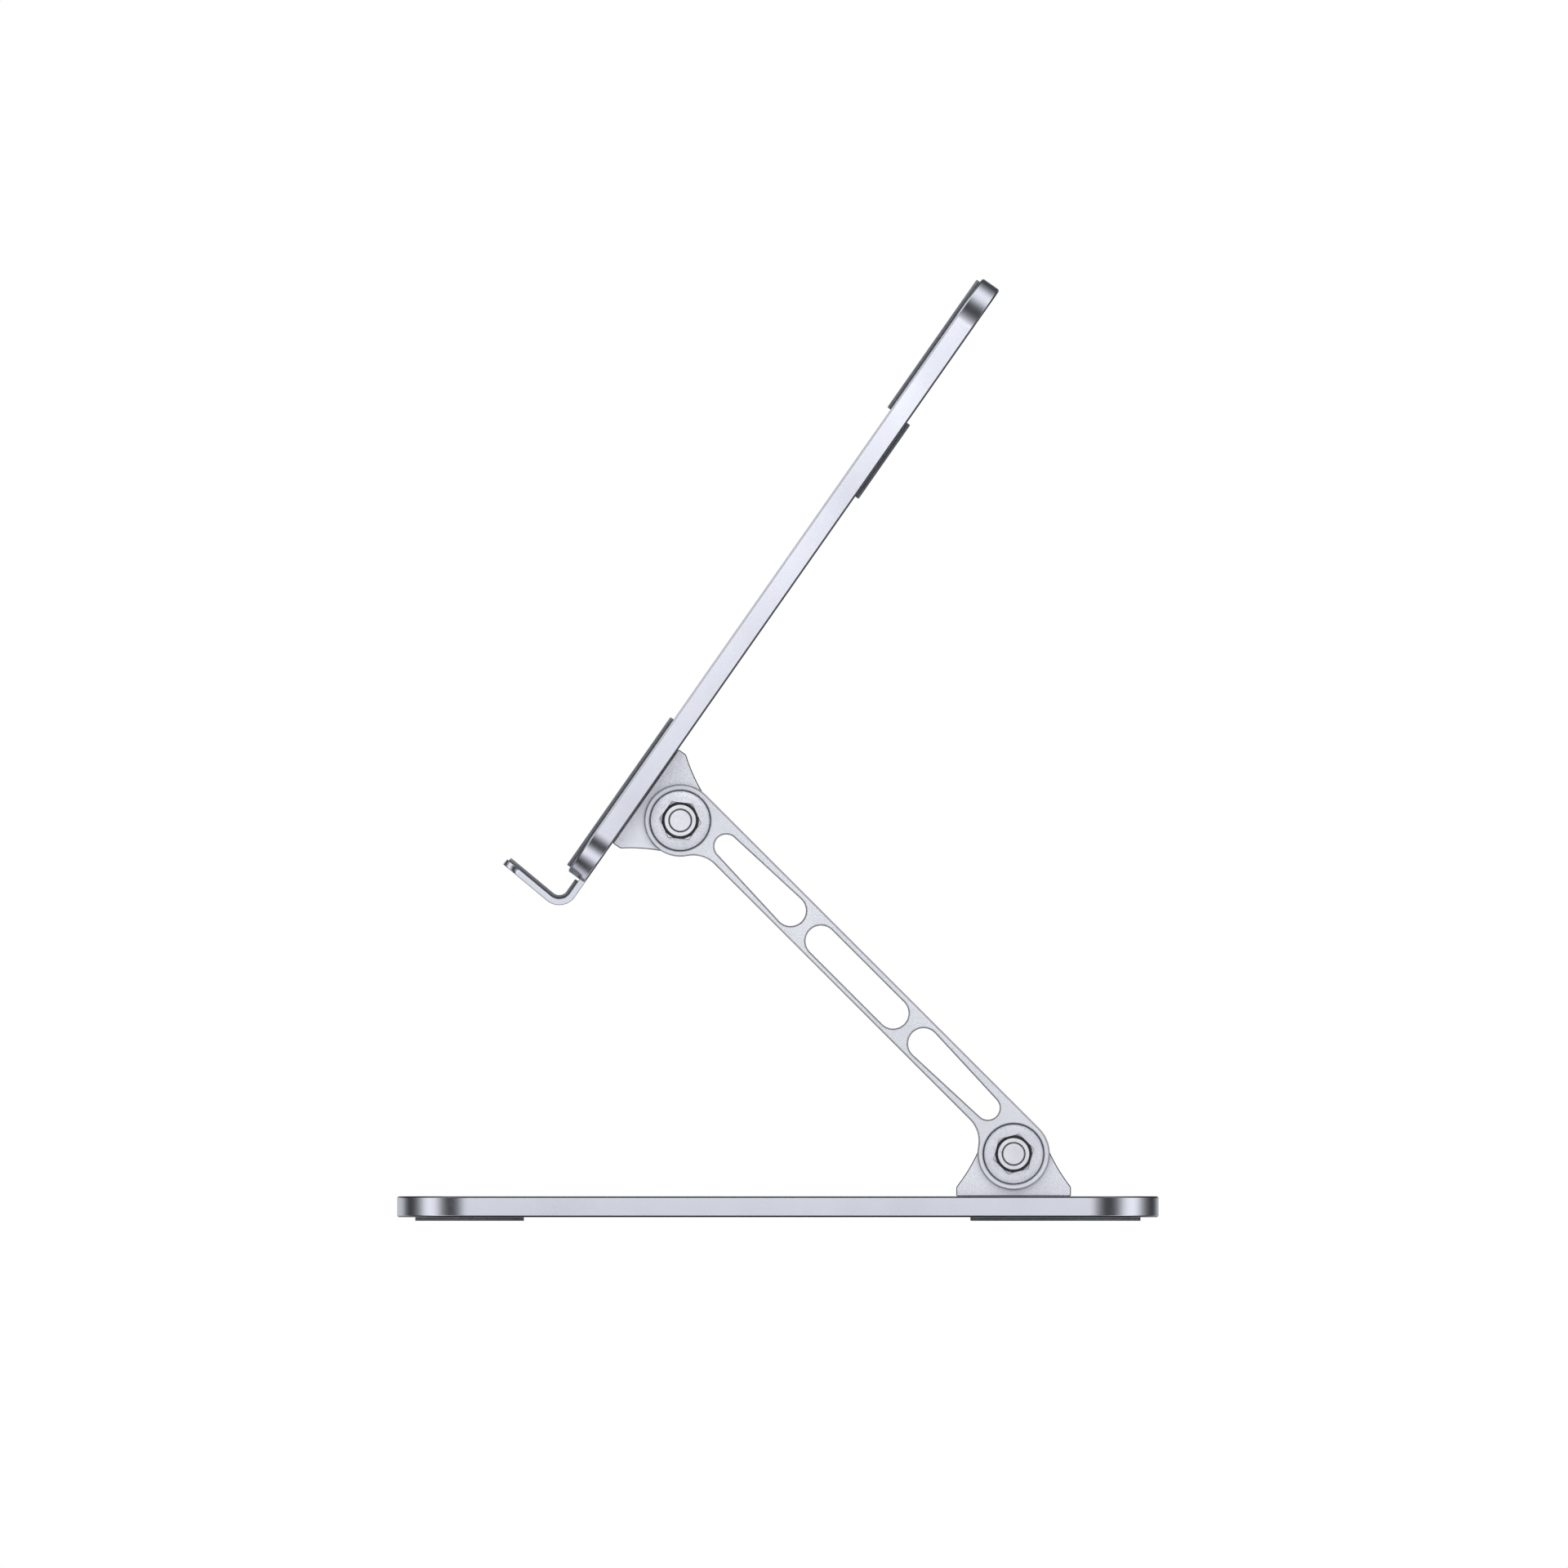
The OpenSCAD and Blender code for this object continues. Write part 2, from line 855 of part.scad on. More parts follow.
base_plate();
foot_front_left();
foot_front_right();
foot_rear_left();
foot_rear_right();
base_cover_pad();
base_bracket();
base_bracket_screws();
lower_bush_left();
lower_bush_right();
arm_left();
arm_right();
lower_bolt();
lower_nut();
lower_disc_springs();
upper_bolt();
upper_nut();
upper_disc_springs();
upper_bush_left();
upper_bush_right();
panel_plate();
panel_bracket();
panel_bracket_screws();
panel_pad_upper();
panel_pad_lower();
panel_back_pad();
hook_left();
hook_right();
hook_liner_left();
hook_liner_right();
hook_screws();
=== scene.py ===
"""Looks of a folding aluminium tablet stand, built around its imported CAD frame. Lengths are in metres."""

import json
import math

import bmesh
import bpy
from mathutils import Matrix, Vector


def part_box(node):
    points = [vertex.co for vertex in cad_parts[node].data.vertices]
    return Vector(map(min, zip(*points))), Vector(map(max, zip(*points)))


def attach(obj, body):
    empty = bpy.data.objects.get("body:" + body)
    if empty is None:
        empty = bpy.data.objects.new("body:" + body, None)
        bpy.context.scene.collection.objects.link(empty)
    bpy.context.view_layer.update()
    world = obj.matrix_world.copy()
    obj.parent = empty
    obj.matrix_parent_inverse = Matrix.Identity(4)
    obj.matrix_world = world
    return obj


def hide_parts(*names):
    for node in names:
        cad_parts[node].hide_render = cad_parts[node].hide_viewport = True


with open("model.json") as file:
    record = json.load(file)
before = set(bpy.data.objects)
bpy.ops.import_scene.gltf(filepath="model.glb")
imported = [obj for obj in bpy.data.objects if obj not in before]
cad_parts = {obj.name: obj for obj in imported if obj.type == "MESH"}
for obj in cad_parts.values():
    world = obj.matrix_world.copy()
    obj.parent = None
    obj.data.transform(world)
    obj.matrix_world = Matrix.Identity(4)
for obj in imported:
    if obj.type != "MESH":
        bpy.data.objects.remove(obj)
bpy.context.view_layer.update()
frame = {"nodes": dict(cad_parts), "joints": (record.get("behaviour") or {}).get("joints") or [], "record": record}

MM = 0.001
NODES = frame["nodes"]
JOINTS = {joint["name"]: joint for joint in frame["joints"]}
MOUNTS = {mount["name"]: mount for mount in frame["record"]["mounts"]}

# ---------------------------------------------------------------- places, all worked out from the frame

ACROSS = Vector((1, 0, 0))
UP = Vector((0, 0, 1))
UPPER_AXIS = Vector(JOINTS["panel_tilt"]["pos_m"])
LOWER_AXIS = Vector(JOINTS["arm_fold"]["pos_m"])
PANEL_NORMAL = Vector(MOUNTS["tablet_face"]["axis"]).normalized()
PANEL_UP = Vector((0, PANEL_NORMAL.z, -PANEL_NORMAL.y))
LIP_NORMAL = Vector(MOUNTS["lip_face"]["axis"]).normalized()


def frame_matrix(origin, x, y, z):
    """The matrix that takes a point written in a local frame to the shared frame."""
    columns = Matrix((x, y, z)).transposed().to_4x4()
    return Matrix.Translation(origin) @ columns


# The panel's own frame: x across, y up its slope, z out of its front, with the upper axis at y = z = 0
PANEL = frame_matrix(UPPER_AXIS, ACROSS, PANEL_UP, PANEL_NORMAL)
WORLD = Matrix.Identity(4)


def local_box(node, matrix):
    """A CAD node's lowest and highest corners, measured in the local frame of a matrix."""
    back = matrix.inverted()
    points = [back @ v.co for v in NODES[node].data.vertices]
    low = Vector([min(p[i] for p in points) for i in range(3)])
    high = Vector([max(p[i] for p in points) for i in range(3)])
    return low, high


# ---------------------------------------------------------------- materials


def math_node(tree, operation, a, b=None):
    """Adds a Math node to a node tree; a and b are numbers or other nodes' outputs."""
    node = tree.nodes.new("ShaderNodeMath")
    node.operation = operation
    for socket, value in zip(node.inputs, (a, b)):
        if isinstance(value, (int, float)):
            socket.default_value = value
        elif value is not None:
            tree.links.new(value, socket)
    return node.outputs["Value"]


class Material:
    """A node material with one Principled shader, and short ways of adding nodes to it."""

    def __init__(self, name, metallic, roughness, **inputs):
        self.mat = bpy.data.materials.new(name)
        self.mat.use_nodes = True
        self.tree = self.mat.node_tree
        self.shader = self.tree.nodes["Principled BSDF"]
        self.shader.inputs["Metallic"].default_value = metallic
        self.shader.inputs["Roughness"].default_value = roughness
        for key, value in inputs.items():
            self.shader.inputs[key.replace("_", " ")].default_value = value
        self.coords = self.add_node("ShaderNodeTexCoord").outputs["Object"]

    def add_node(self, kind):
        return self.tree.nodes.new(kind)

    def link(self, output, socket):
        self.tree.links.new(output, socket)

    def noise(self, size, detail=2.0, stretch=None):
        """Noise whose grains are about size across; stretch scales the coordinates along x, y and z."""
        node = self.add_node("ShaderNodeTexNoise")
        node.inputs["Scale"].default_value = 1 / size
        node.inputs["Detail"].default_value = detail
        vector = self.coords
        if stretch:
            mapping = self.add_node("ShaderNodeMapping")
            mapping.inputs["Scale"].default_value = stretch
            self.link(self.coords, mapping.inputs["Vector"])
            vector = mapping.outputs["Vector"]
        self.link(vector, node.inputs["Vector"])
        return node.outputs["Fac"]

    def remap(self, value, low=0.0, high=1.0, start=0.3, end=0.7):
        """Spreads values from start to end over low to high; noise lies mostly between 0.3 and 0.7."""
        node = self.add_node("ShaderNodeMapRange")
        node.inputs["From Min"].default_value = start
        node.inputs["From Max"].default_value = end
        node.inputs["To Min"].default_value = low
        node.inputs["To Max"].default_value = high
        self.link(value, node.inputs["Value"])
        return node.outputs["Result"]

    def plus(self, a, b):
        return math_node(self.tree, "ADD", a, b)

    def times(self, a, b):
        return math_node(self.tree, "MULTIPLY", a, b)

    def colour(self, factor, dark, light):
        """Makes the base colour run from dark to light with a factor."""
        node = self.add_node("ShaderNodeMix")
        node.data_type = "RGBA"
        node.inputs["A"].default_value = (*dark, 1)
        node.inputs["B"].default_value = (*light, 1)
        self.link(factor, node.inputs["Factor"])
        self.link(node.outputs["Result"], self.shader.inputs["Base Color"])

    def roughness(self, output):
        self.link(output, self.shader.inputs["Roughness"])

    def bump(self, *layers):
        """Adds height layers, each a value, its depth and its strength, one on top of the other."""
        normal = None
        for value, depth, strength in layers:
            node = self.add_node("ShaderNodeBump")
            node.inputs["Distance"].default_value = depth
            node.inputs["Strength"].default_value = strength
            self.link(value, node.inputs["Height"])
            if normal:
                self.link(normal, node.inputs["Normal"])
            normal = node.outputs["Normal"]
        self.link(normal, self.shader.inputs["Normal"])


def blasted_aluminium(name, dark, light, metallic, roughness, depth):
    """Bead-blasted and anodised: a fine sparkling grain, slow clouding and a few handling marks."""
    m = Material(name, metallic, roughness)
    grain = m.noise(0.16 * MM)
    swell = m.noise(0.45 * MM, 1.0)
    cloud = m.noise(14 * MM, 3.0)
    marks = m.noise(30 * MM, 4.0, stretch=(1.0, 1.6, 0.7))
    grain_share = 0.7
    tone = m.plus(m.times(grain, grain_share), m.times(cloud, 1 - grain_share))
    m.colour(m.remap(tone), dark, light)
    spread = m.plus(m.remap(grain, -0.05, 0.05), m.remap(marks, -0.03, 0.04))
    m.roughness(m.plus(spread, roughness))
    m.bump((grain, depth, 0.5), (swell, depth, 0.25))
    return m.mat


def shaded_edge_aluminium(name, tone):
    """Machined chamfers and rolled rims, their darkness painted in as shade and dark reflection, with faint tool
    marks.
    """
    m = Material(name, 1.0, 0.28)
    lines = m.noise(0.1 * MM, 1.0, stretch=(0.2, 1.0, 1.0))
    bluish, brighter = 1.06, 1.25
    dark = (tone, tone, tone * bluish)
    m.colour(m.remap(lines), dark, [c * brighter for c in dark])
    m.roughness(m.remap(lines, 0.22, 0.36))
    m.bump((lines, 0.004 * MM, 0.2))
    return m.mat


def plated_steel(name, dark, light, roughness):
    """Zinc-plated steel: cloudy plating with a fine grain."""
    m = Material(name, 1.0, roughness)
    grain = m.noise(0.3 * MM, 3.0)
    cloud = m.noise(3 * MM)
    m.colour(m.remap(cloud), dark, light)
    m.roughness(m.remap(grain, roughness - 0.04, roughness + 0.08))
    m.bump((grain, 0.006 * MM, 0.25))
    return m.mat


def silicone(name, dark, light):
    """Matt silicone: a soft mottle, a fine moulded grain and a little dust."""
    m = Material(name, 0.0, 0.6, Specular_IOR_Level=0.35, Sheen_Weight=0.15, Sheen_Roughness=0.5)
    mottle = m.noise(18 * MM, 4.0)
    speck = m.noise(0.9 * MM, 3.0)
    dust = m.remap(m.noise(0.4 * MM), start=0.6, end=0.75)
    grain = m.noise(0.12 * MM)
    tone = m.plus(m.remap(mottle, 0.3, 0.5), m.times(dust, 0.3))
    m.colour(m.plus(tone, m.remap(speck, -0.1, 0.1)), dark, light)
    m.roughness(m.remap(grain, 0.52, 0.74))
    m.bump((grain, 0.02 * MM, 0.4), (mottle, 0.03 * MM, 0.2))
    return m.mat


def dark_polymer(name):
    """Smooth moulded polymer, nearly black."""
    m = Material(name, 0.0, 0.4)
    grain = m.noise(0.3 * MM)
    m.colour(m.remap(grain), (0.02, 0.02, 0.022), (0.045, 0.045, 0.05))
    m.roughness(m.remap(grain, 0.35, 0.5))
    m.bump((grain, 0.01 * MM, 0.2))
    return m.mat


PLATE_METAL = blasted_aluminium(
    "plate_aluminium", (0.73, 0.745, 0.81), (0.80, 0.815, 0.88),
    metallic=1.0, roughness=0.20, depth=0.004 * MM,
)
ARM_METAL = blasted_aluminium(
    "arm_aluminium", (0.88, 0.895, 0.955), (0.955, 0.965, 1.0),
    metallic=0.66, roughness=0.32, depth=0.005 * MM,
)
BRACKET_METAL = blasted_aluminium(
    "bracket_aluminium", (0.88, 0.895, 0.955), (0.955, 0.965, 1.0),
    metallic=0.78, roughness=0.25, depth=0.009 * MM,
)
FACE_METAL = blasted_aluminium(
    "face_aluminium", (0.78, 0.79, 0.83), (0.87, 0.88, 0.92),
    metallic=0.6, roughness=0.42, depth=0.013 * MM,
)
# Painted shade for edges: dark for most chamfers and recess floors, lighter for arms and hooks, near-black for the
# shadow at a nut collar's step
PAINTED_SHADE_EDGE = shaded_edge_aluminium("painted_shade_edge", 0.13)
ARM_SHADED_EDGE = shaded_edge_aluminium("arm_shaded_edge", 0.40)
COLLAR_SHADOW_EDGE = shaded_edge_aluminium("collar_shadow_edge", 0.055)
STEEL = plated_steel("plated_steel", (0.79, 0.80, 0.83), (0.88, 0.89, 0.92), 0.2)
SPRING_STEEL = plated_steel("spring_steel", (0.76, 0.775, 0.82), (0.84, 0.855, 0.90), 0.22)
SILICONE = silicone("silicone", (0.10, 0.107, 0.122), (0.20, 0.211, 0.235))
# The same silicone painted lighter, as painted light against the shade under the base, for the feet and the base
# cover
LIT_FOOT_SILICONE = silicone("lit_foot_silicone", (0.30, 0.315, 0.345), (0.52, 0.54, 0.58))
POLYMER = dark_polymer("bush_polymer")

# ---------------------------------------------------------------- carried-over CAD nodes

# How closely a face looks along an axis, as a cosine from the first value up to the second
FLAT = (0.95, 1.1)
CHAMFER = (0.55, 0.85)
SIDEWAYS = (0, 0.5)

# Radii round a hinge axis: all of a bolt recess, all of its chamfered rim, where a nut collar's roll starts
RECESS_R = 6.8 * MM
RECESS_RIM_R = 7.45 * MM
COLLAR_ROLL_R = 3.12 * MM
# How far a nut's collar reaches down from its top, and the cosine under which its faces are rolled
COLLAR_HEIGHT = 1.15 * MM
COLLAR_ROLL_LEAN = 0.985

# Rounding of the sharp edges, by kind of piece
BRACKET_ROUNDING = 0.22 * MM
HOOK_ROUNDING = 0.15 * MM
USUAL_ROUNDING = 0.1 * MM
SMALL_ROUNDING = 0.05 * MM

WELD_GAP = 0.002 * MM
SAME_PLANE = math.radians(0.3)
SHARP_EDGE = math.radians(28)
NORMAL_WEIGHT = 50


def finish_edges(obj, width, edge_index):
    """Rounds a CAD node's sharp edges with modifiers and shades it by the size of its faces."""
    for polygon in obj.data.polygons:
        polygon.use_smooth = True
    weld = obj.modifiers.new("weld", "WELD")
    weld.merge_threshold = WELD_GAP
    flats = obj.modifiers.new("flats", "DECIMATE")
    flats.decimate_type = "DISSOLVE"
    flats.angle_limit = SAME_PLANE
    bevel = obj.modifiers.new("edge", "BEVEL")
    bevel.width = width
    bevel.segments = 2
    bevel.limit_method = "ANGLE"
    bevel.angle_limit = SHARP_EDGE
    bevel.use_clamp_overlap = False
    bevel.material = edge_index
    normals = obj.modifiers.new("normals", "WEIGHTED_NORMAL")
    normals.mode = "FACE_AREA"
    normals.weight = NORMAL_WEIGHT
    normals.keep_sharp = False


def dress(node, material, width, *layers, edge=None):
    """Gives a CAD node its material and edges rounded to a width.

    Each layer is one more material and a test for the faces that wear it. The rounded edges take the edge
    material, or without one that of the faces beside them.
    """
    obj = NODES[node]
    materials = [material] + [layer for layer, _ in layers] + ([edge] if edge else [])
    obj.data.materials.clear()
    for item in materials:
        obj.data.materials.append(item)
    for polygon in obj.data.polygons:
        polygon.material_index = 0
        for index, (_, picks) in enumerate(layers, 1):
            if picks(polygon):
                polygon.material_index = index
    finish_edges(obj, width, len(materials) - 1 if edge else -1)


def leans(axis, low, high, facing=None):
    """A test for faces whose normal makes a cosine between low and high with an axis."""

    def test(polygon):
        if facing and polygon.normal.dot(facing) <= 0:
            return False
        return low <= abs(polygon.normal.dot(axis)) < high

    return test


def off_axis(point, axis):
    """A point's distance from a hinge axis."""
    return (point - axis).yz.length


def recess_floor(node):
    """A test for the floors of an arm's two bolt recesses."""
    vertices = NODES[node].data.vertices
    level = leans(ACROSS, *FLAT)

    def test(polygon):
        points = [vertices[i].co for i in polygon.vertices]
        reach = min(max(off_axis(p, axis) for p in points) for axis in (UPPER_AXIS, LOWER_AXIS))
        return level(polygon) and reach < RECESS_R

    return test


def outer_chamfer(polygon):
    """Picks an arm's chamfers, apart from those around its two bolt recesses."""
    off = min(off_axis(polygon.center, axis) for axis in (UPPER_AXIS, LOWER_AXIS))
    return leans(ACROSS, *CHAMFER)(polygon) and off > RECESS_RIM_R


def collar_roll(node):
    """A test for the rolled rim of a lock nut's collar, which stands above its hexagon."""
    collar_foot = max(v.co.x for v in NODES[node].data.vertices) - COLLAR_HEIGHT
    axis = UPPER_AXIS if node.startswith("upper") else LOWER_AXIS

    def test(polygon):
        c = polygon.center
        rolled = polygon.normal.x < COLLAR_ROLL_LEAN
        return rolled and c.x > collar_foot and off_axis(c, axis) > COLLAR_ROLL_R

    return test


# All the base's chamfers and the panel's rear chamfers are painted dark, as painted shade and dark reflection
for node, normal, painted_shade_side in (("base_plate", UP, None), ("panel_plate", PANEL_NORMAL, -PANEL_NORMAL)):
    dress(
        node, PLATE_METAL, USUAL_ROUNDING,
        (FACE_METAL, leans(normal, *FLAT)), (PAINTED_SHADE_EDGE, leans(normal, *CHAMFER, painted_shade_side)),
    )
# An arm's outer chamfers are painted darker and its two recess floors dark, as painted shade
for node in ("arm_left", "arm_right"):
    dress(
        node, ARM_METAL, USUAL_ROUNDING,
        (FACE_METAL, leans(ACROSS, *SIDEWAYS)), (ARM_SHADED_EDGE, outer_chamfer), (PAINTED_SHADE_EDGE, recess_floor(node)),
    )
# A bracket's rounded edges are painted dark, as painted shade and dark reflection
for node in ("base_bracket", "panel_bracket"):
    dress(
        node, BRACKET_METAL, BRACKET_ROUNDING,
        (FACE_METAL, leans(ACROSS, *SIDEWAYS)), edge=PAINTED_SHADE_EDGE,
    )
# A hook's rounded edges are painted darker, as painted shade and dark reflection
for node in ("hook_left", "hook_right"):
    dress(
        node, PLATE_METAL, HOOK_ROUNDING,
        (FACE_METAL, leans(LIP_NORMAL, *FLAT)), (FACE_METAL, leans(PANEL_NORMAL, *FLAT)), edge=ARM_SHADED_EDGE,
    )
# Nuts, bolts and screws get rounded edges painted dark, and each nut's collar rim near-black, as painted shade
for node in NODES:
    if "bush" in node:
        dress(node, POLYMER, USUAL_ROUNDING)
    elif "nut" in node:
        dress(node, STEEL, USUAL_ROUNDING, (COLLAR_SHADOW_EDGE, collar_roll(node)), edge=PAINTED_SHADE_EDGE)
    elif "disc" in node:
        dress(node, SPRING_STEEL, SMALL_ROUNDING)
    elif "bolt" in node or "screws" in node:
        dress(node, STEEL, SMALL_ROUNDING, edge=PAINTED_SHADE_EDGE)

# ---------------------------------------------------------------- soft pads

ROUNDING_STEPS = 4
SAME_LEVEL = 1e-9


def rounded_outline(x0, x1, y0, y1, r_low, r_high, steps=10):
    """A rectangle's outline with one radius at its low and one at its high end in y, anticlockwise."""
    corners = (
        (x1 - r_low, y0 + r_low, r_low, -90),
        (x1 - r_high, y1 - r_high, r_high, 0),
        (x0 + r_high, y1 - r_high, r_high, 90),
        (x0 + r_low, y0 + r_low, r_low, 180),
    )
    points = []
    for x, y, r, start in corners:
        for i in range(steps + 1):
            a = math.radians(start + 90 * i / steps)
            points.append((x + r * math.cos(a), y + r * math.sin(a)))
    return points


def slab(outline, glued, free, rounding):
    """A flat shape between its glued and its free level, with a rounded edge round the free face."""
    bm = bmesh.new()
    bottom = bm.faces.new([bm.verts.new((x, y, glued)) for x, y in outline])
    extruded = bmesh.ops.extrude_face_region(bm, geom=[bottom])
    for v in extruded["geom"]:
        if isinstance(v, bmesh.types.BMVert):
            v.co.z = free
    rim = [e for e in bm.edges if all(abs(v.co.z - free) < SAME_LEVEL for v in e.verts)]
    bmesh.ops.bevel(
        bm, geom=rim, offset=rounding, segments=ROUNDING_STEPS, profile=0.5, affect="EDGES",
        clamp_overlap=True,
    )
    return bm


def soft_piece(bm, name, node, body, matrix=WORLD, material=SILICONE):
    """Makes a shape into an object that takes a CAD node's place and rides on its body."""
    bmesh.ops.recalc_face_normals(bm, faces=bm.faces)
    mesh = bpy.data.meshes.new(name)
    bm.to_mesh(mesh)
    bm.free()
    mesh.transform(matrix)
    for polygon in mesh.polygons:
        polygon.use_smooth = True
    mesh.materials.append(material)
    obj = bpy.data.objects.new(name, mesh)
    bpy.context.scene.collection.objects.link(obj)
    normals = obj.modifiers.new("normals", "WEIGHTED_NORMAL")
    normals.weight = NORMAL_WEIGHT
    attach(obj, body)
    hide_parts(node)


PAD_ROUNDING = 0.2 * MM


def pad(name, node, matrix, r_low, r_high, body, material=SILICONE, steps=10):
    """A flat soft pad in a CAD pad's place; only the front pads look out along the matrix's own z."""
    low, high = local_box(node, matrix)
    glued, free = (low.z, high.z) if node.startswith("panel_pad") else (high.z, low.z)
    outline = rounded_outline(low.x, high.x, low.y, high.y, r_low, r_high, steps)
    soft_piece(slab(outline, glued, free, PAD_ROUNDING), name, node, body, matrix, material)


PAD_CORNER = 3 * MM
FRONT_PAD_CORNER = 10 * MM
COVER_PAD_CORNER = 2 * MM
# What a foot's corners lack of half its width, so that no two points of its outline meet
CORNER_GAP = 0.001 * MM
FOOT_STEPS = 24

for side in ("front_left", "front_right", "rear_left", "rear_right"):
    low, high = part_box("foot_" + side)
    r = (high.x - low.x) / 2 - CORNER_GAP
    pad("soft_foot_" + side, "foot_" + side, WORLD, r, r, "base", LIT_FOOT_SILICONE, FOOT_STEPS)
pad(
    "soft_base_cover", "base_cover_pad", WORLD, COVER_PAD_CORNER, COVER_PAD_CORNER, "base", LIT_FOOT_SILICONE
)
pad("soft_pad_upper", "panel_pad_upper", PANEL, PAD_CORNER, FRONT_PAD_CORNER, "panel")
pad("soft_pad_lower", "panel_pad_lower", PANEL, FRONT_PAD_CORNER, PAD_CORNER, "panel")
pad("soft_back_pad", "panel_back_pad", PANEL, PAD_CORNER, PAD_CORNER, "panel")

# Sizes of the bent hook strip and of its liner
HOOK_THICK = 1.45 * MM
BEND_R = 4.25 * MM
LINER_THICK = 0.8 * MM
LINER_TIP_CORNER = 3.15 * MM
LINER_TOP_CORNER = 1.0 * MM
LINER_ROUNDING = 0.25 * MM
BEND_CUTS = 24


def hook_corner(hook, across):
    """Where the outer faces of a hook's tail and lip would meet, and the direction of the lip."""
    points = [v.co for v in NODES[hook].data.vertices]
    lip = LIP_NORMAL.cross(ACROSS)
    if lip.dot(PANEL_NORMAL) < 0:
        lip.negate()
    tail_level = min(p.dot(PANEL_NORMAL) for p in points)
    lip_level = min(p.dot(LIP_NORMAL) for p in points)
    facing = PANEL_NORMAL.dot(LIP_NORMAL)
    share = 1 - facing * facing
    along_panel_normal = PANEL_NORMAL * ((tail_level - facing * lip_level) / share)
    along_lip_normal = LIP_NORMAL * ((lip_level - facing * tail_level) / share)
    corner = along_panel_normal + along_lip_normal
    corner.x = across
    return corner, lip


def liner(name, node, hook):
    """A soft liner moulded to the inside of a hook: a flat rounded strip, bent along the hook's own bend."""
    low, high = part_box(node)
    half = (high.x - low.x) / 2
    corner, lip = hook_corner(hook, (low.x + high.x) / 2)
    turn = PANEL_UP.angle(lip)
    reach = BEND_R / math.tan(turn / 2)
    inner_r = BEND_R - HOOK_THICK
    centre = PANEL_UP * reach + PANEL_NORMAL * BEND_R
    points = [v.co - corner for v in NODES[node].data.vertices]
    tail_end = max(p.dot(PANEL_UP) for p in points)
    lip_end = max(p.dot(lip) for p in points)
    bend_start = tail_end - reach
    bend_length = inner_r * (math.pi - turn)
    bend_end = bend_start + bend_length

    def bent(point):
        """The place of a point of the flat strip: x across, y along and z over the glued face."""
        if point.y < bend_start:
            place = PANEL_UP * (tail_end - point.y) + PANEL_NORMAL * (HOOK_THICK + point.z)
        elif point.y > bend_end:
            place = lip * (point.y - bend_end + reach) + LIP_NORMAL * (HOOK_THICK + point.z)
        else:
            a = (point.y - bend_start) / inner_r
            out = -PANEL_NORMAL * math.cos(a) - PANEL_UP * math.sin(a)
            place = centre + out * (inner_r - point.z)
        return corner + ACROSS * point.x + place

    length = bend_end + lip_end - reach
    outline = rounded_outline(-half, half, 0, length, LINER_TOP_CORNER, LINER_TIP_CORNER)
    bm = slab(outline, 0, LINER_THICK, LINER_ROUNDING)
    for i in range(BEND_CUTS + 1):
        place = (0, bend_start + bend_length * i / BEND_CUTS, 0)
        everything = bm.verts[:] + bm.edges[:] + bm.faces[:]
        bmesh.ops.bisect_plane(bm, geom=everything, dist=1e-8, plane_co=place, plane_no=(0, 1, 0))
    for v in bm.verts:
        v.co = bent(v.co)
    soft_piece(bm, name, node, "panel")


for side in ("left", "right"):
    liner("soft_liner_" + side, "hook_liner_" + side, "hook_" + side)

# ---------------------------------------------------------------- stage, light and camera

FLOOR_HALF = 6.0


def make_floor():
    """A plain pale floor, which polished metal doesn't reflect."""
    mesh = bpy.data.meshes.new("floor")
    corners = [(x * FLOOR_HALF, y * FLOOR_HALF, 0) for x, y in ((-1, -1), (1, -1), (1, 1), (-1, 1))]
    mesh.from_pydata(corners, [], [(0, 1, 2, 3)])
    m = Material("floor_white", 0.0, 0.7)
    m.colour(m.noise(0.4), (0.80, 0.80, 0.81), (0.86, 0.86, 0.87))
    mesh.materials.append(m.mat)
    obj = bpy.data.objects.new("floor", mesh)
    bpy.context.scene.collection.objects.link(obj)
    obj.visible_glossy = False


# The light tent, as brightness against the angle from the +X axis in degrees
TENT = (
    (0, 0.92), (9, 0.86), (15, 0.50), (21, 0.22), (27, 0.07), (36, 0.05), (43, 0.12), (49, 0.34),
    (55, 0.68), (62, 1.0), (72, 1.12), (79, 1.0), (85, 0.72), (91, 0.42), (99, 0.2), (107, 0.08),
    (116, 0.04), (123, 0.06), (131, 0.2), (139, 0.42), (147, 0.62), (180, 0.66),
)
# The bands sit farther from the +X axis towards the rear and the top: a base, and shares along Y and Z
TENT_STRETCH = (1.02, 0.085, 0.22)
TENT_TINT = Vector((0.955, 0.965, 1.0))
# The smallest sine that the angle from the +X axis is taken to have
SMALL_SINE = 1e-4


def tent_angle(tree):
    """The angle from the +X axis with the bands' stretch taken out, as a share of half a turn."""
    coords = tree.nodes.new("ShaderNodeTexCoord")
    split = tree.nodes.new("ShaderNodeSeparateXYZ")
    tree.links.new(coords.outputs["Generated"], split.inputs["Vector"])
    x, y, z = (split.outputs[axis] for axis in "XYZ")
    base, rear, up = TENT_STRETCH
    angle = math_node(tree, "ARCCOSINE", x)
    aside = math_node(tree, "MAXIMUM", math_node(tree, "SINE", angle), SMALL_SINE)
    rear_part = math_node(tree, "MULTIPLY", y, rear)
    lean = math_node(tree, "ADD", rear_part, math_node(tree, "MULTIPLY", z, up))
    stretch = math_node(tree, "ADD", math_node(tree, "DIVIDE", lean, aside), base)
    return math_node(tree, "DIVIDE", math_node(tree, "DIVIDE", angle, stretch), math.pi)


def background(tree):
    """Adds a white Background node to the world's node tree."""
    node = tree.nodes.new("ShaderNodeBackground")
    node.inputs["Color"].default_value = (1, 1, 1, 1)
    node.inputs["Strength"].default_value = 1.0
    return node


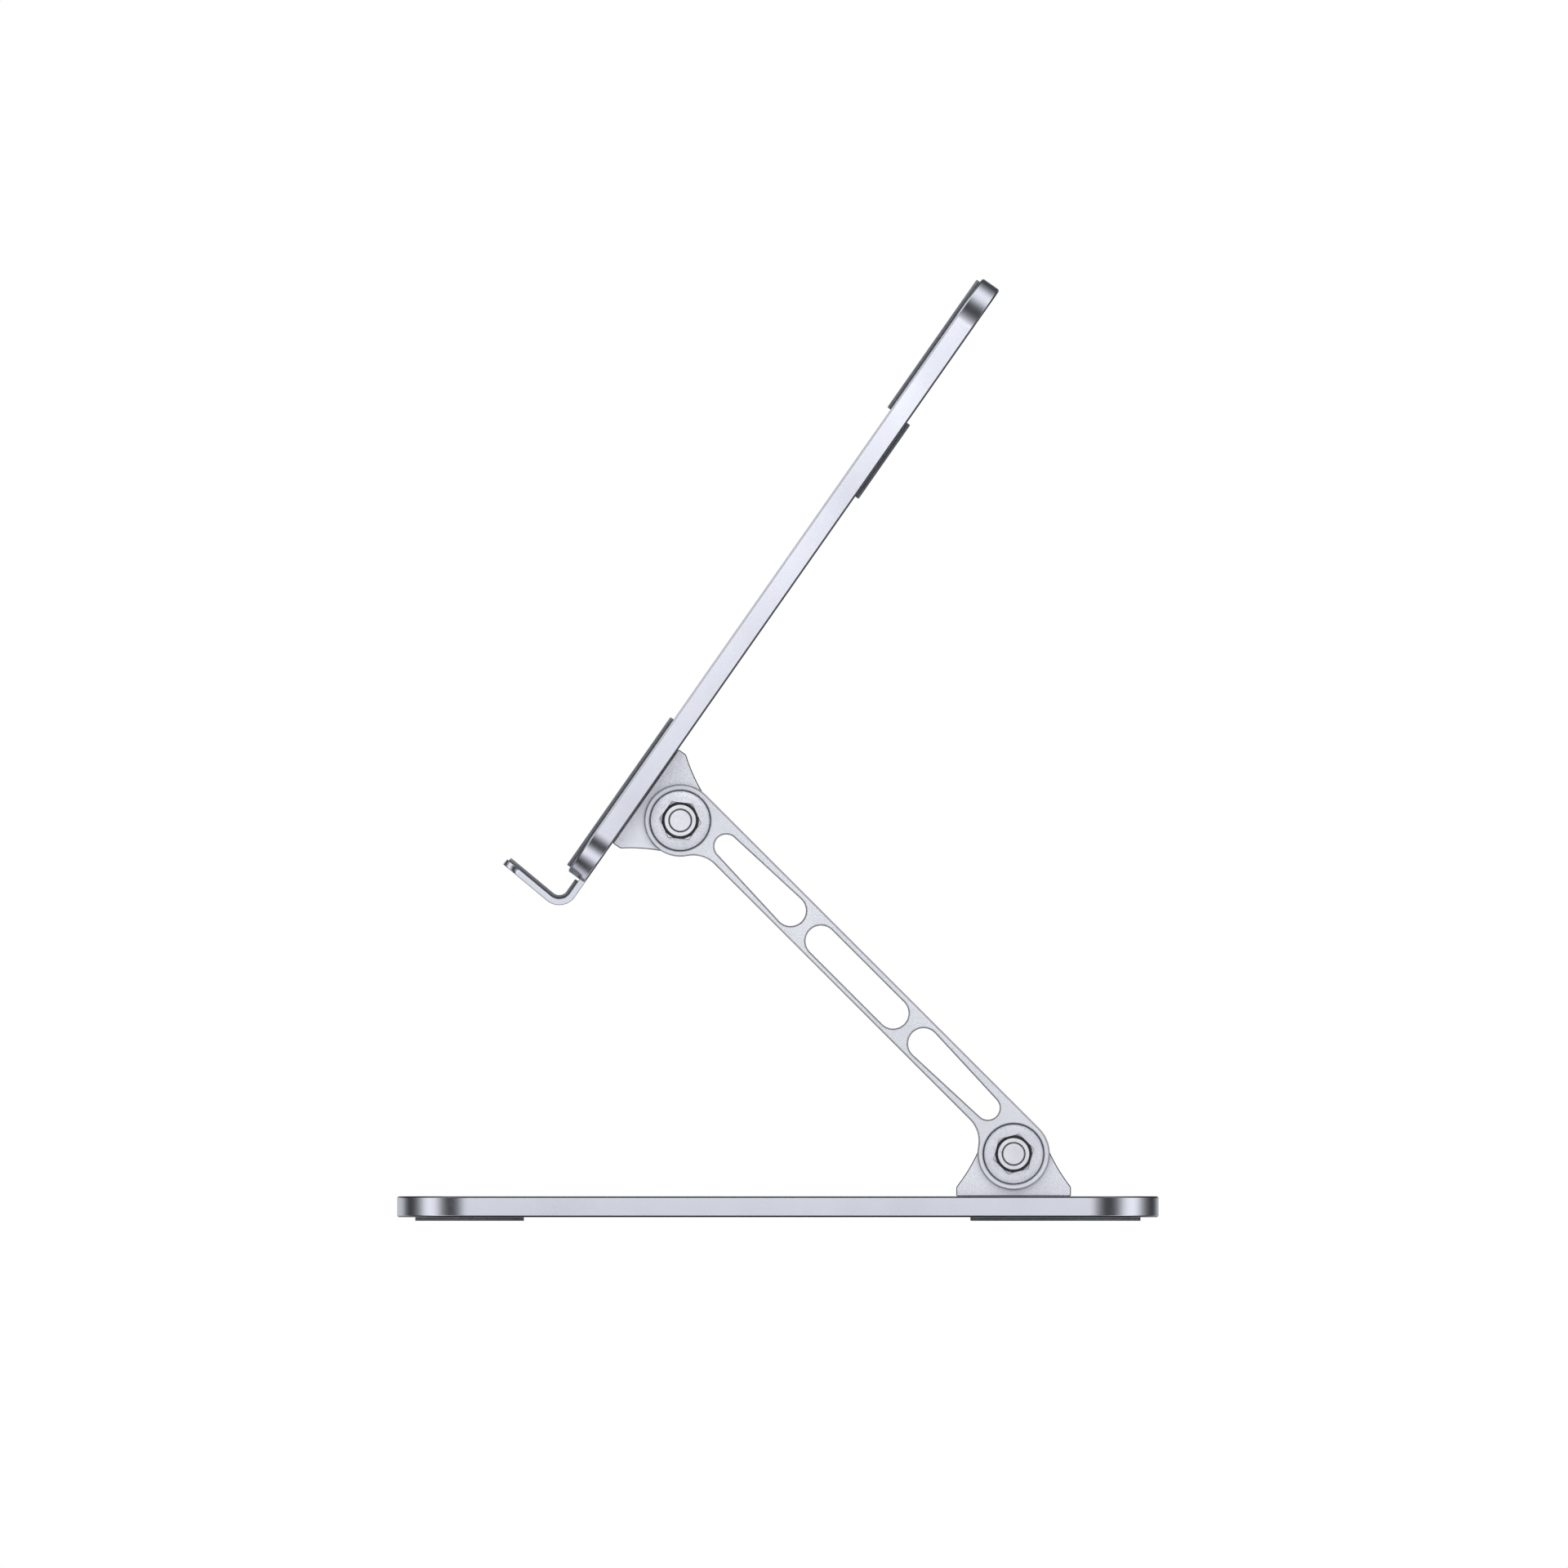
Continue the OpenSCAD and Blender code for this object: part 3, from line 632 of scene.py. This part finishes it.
def make_world():
    """A round white tent with dark gaps, so that round corners show light and dark bands."""
    world = bpy.data.worlds.new("studio")
    bpy.context.scene.world = world
    world.use_nodes = True
    tree = world.node_tree
    tree.nodes.clear()
    ramp = tree.nodes.new("ShaderNodeValToRGB")
    tree.links.new(tent_angle(tree), ramp.inputs["Fac"])
    elements = ramp.color_ramp.elements
    while len(elements) > 1:
        elements.remove(elements[-1])
    for i, (degrees, level) in enumerate(TENT):
        element = elements[0] if i == 0 else elements.new(degrees / 180)
        element.position = degrees / 180
        element.color = (*(TENT_TINT * level), 1)
    tent = background(tree)
    tree.links.new(ramp.outputs["Color"], tent.inputs["Color"])
    path = tree.nodes.new("ShaderNodeLightPath")
    mix = tree.nodes.new("ShaderNodeMixShader")
    tree.links.new(path.outputs["Is Camera Ray"], mix.inputs["Fac"])
    tree.links.new(tent.outputs[0], mix.inputs[1])
    tree.links.new(background(tree).outputs[0], mix.inputs[2])
    out = tree.nodes.new("ShaderNodeOutputWorld")
    tree.links.new(mix.outputs[0], out.inputs["Surface"])


def area_light(name, place, target, width, height, power, shows_in_metal=True):
    """A rectangular light of a power in watts, which may be left out of what polished metal reflects."""
    data = bpy.data.lights.new(name, "AREA")
    data.shape = "RECTANGLE"
    data.size = width
    data.size_y = height
    data.energy = power
    obj = bpy.data.objects.new(name, data)
    bpy.context.scene.collection.objects.link(obj)
    obj.location = place
    obj.rotation_euler = (Vector(target) - Vector(place)).to_track_quat("-Z", "Y").to_euler()
    obj.visible_glossy = shows_in_metal


# What the photograph spans and where its middle lies
PHOTO_WIDTH = 0.34587
PHOTO_MIDDLE = Vector((0, 1.35 * MM, 96.36 * MM))
CAMERA_DISTANCE = 1.2


def make_camera():
    """Square on to the stand's right side, without perspective."""
    data = bpy.data.cameras.new("camera")
    data.type = "ORTHO"
    data.ortho_scale = PHOTO_WIDTH
    obj = bpy.data.objects.new("camera", data)
    bpy.context.scene.collection.objects.link(obj)
    obj.location = PHOTO_MIDDLE + ACROSS * CAMERA_DISTANCE
    obj.rotation_euler = (math.radians(90), 0, math.radians(90))
    bpy.context.scene.camera = obj


STAND_MIDDLE = (0, 0, 0.1)

make_floor()
make_world()
area_light("top", (0.2, -0.2, 1.3), STAND_MIDDLE, 1.0, 1.0, 11.0, shows_in_metal=False)
area_light("right", (1.5, -0.4, 0.7), STAND_MIDDLE, 0.8, 0.8, 10.0, shows_in_metal=False)
area_light("left", (-1.3, -0.7, 0.8), STAND_MIDDLE, 0.8, 0.8, 6.0, shows_in_metal=False)
area_light("card", (1.4, 0.05, 0.27), (0, 0.05, 0.27), 0.5, 0.26, 0.225)
make_camera()
bpy.context.scene.view_settings.view_transform = "Standard"
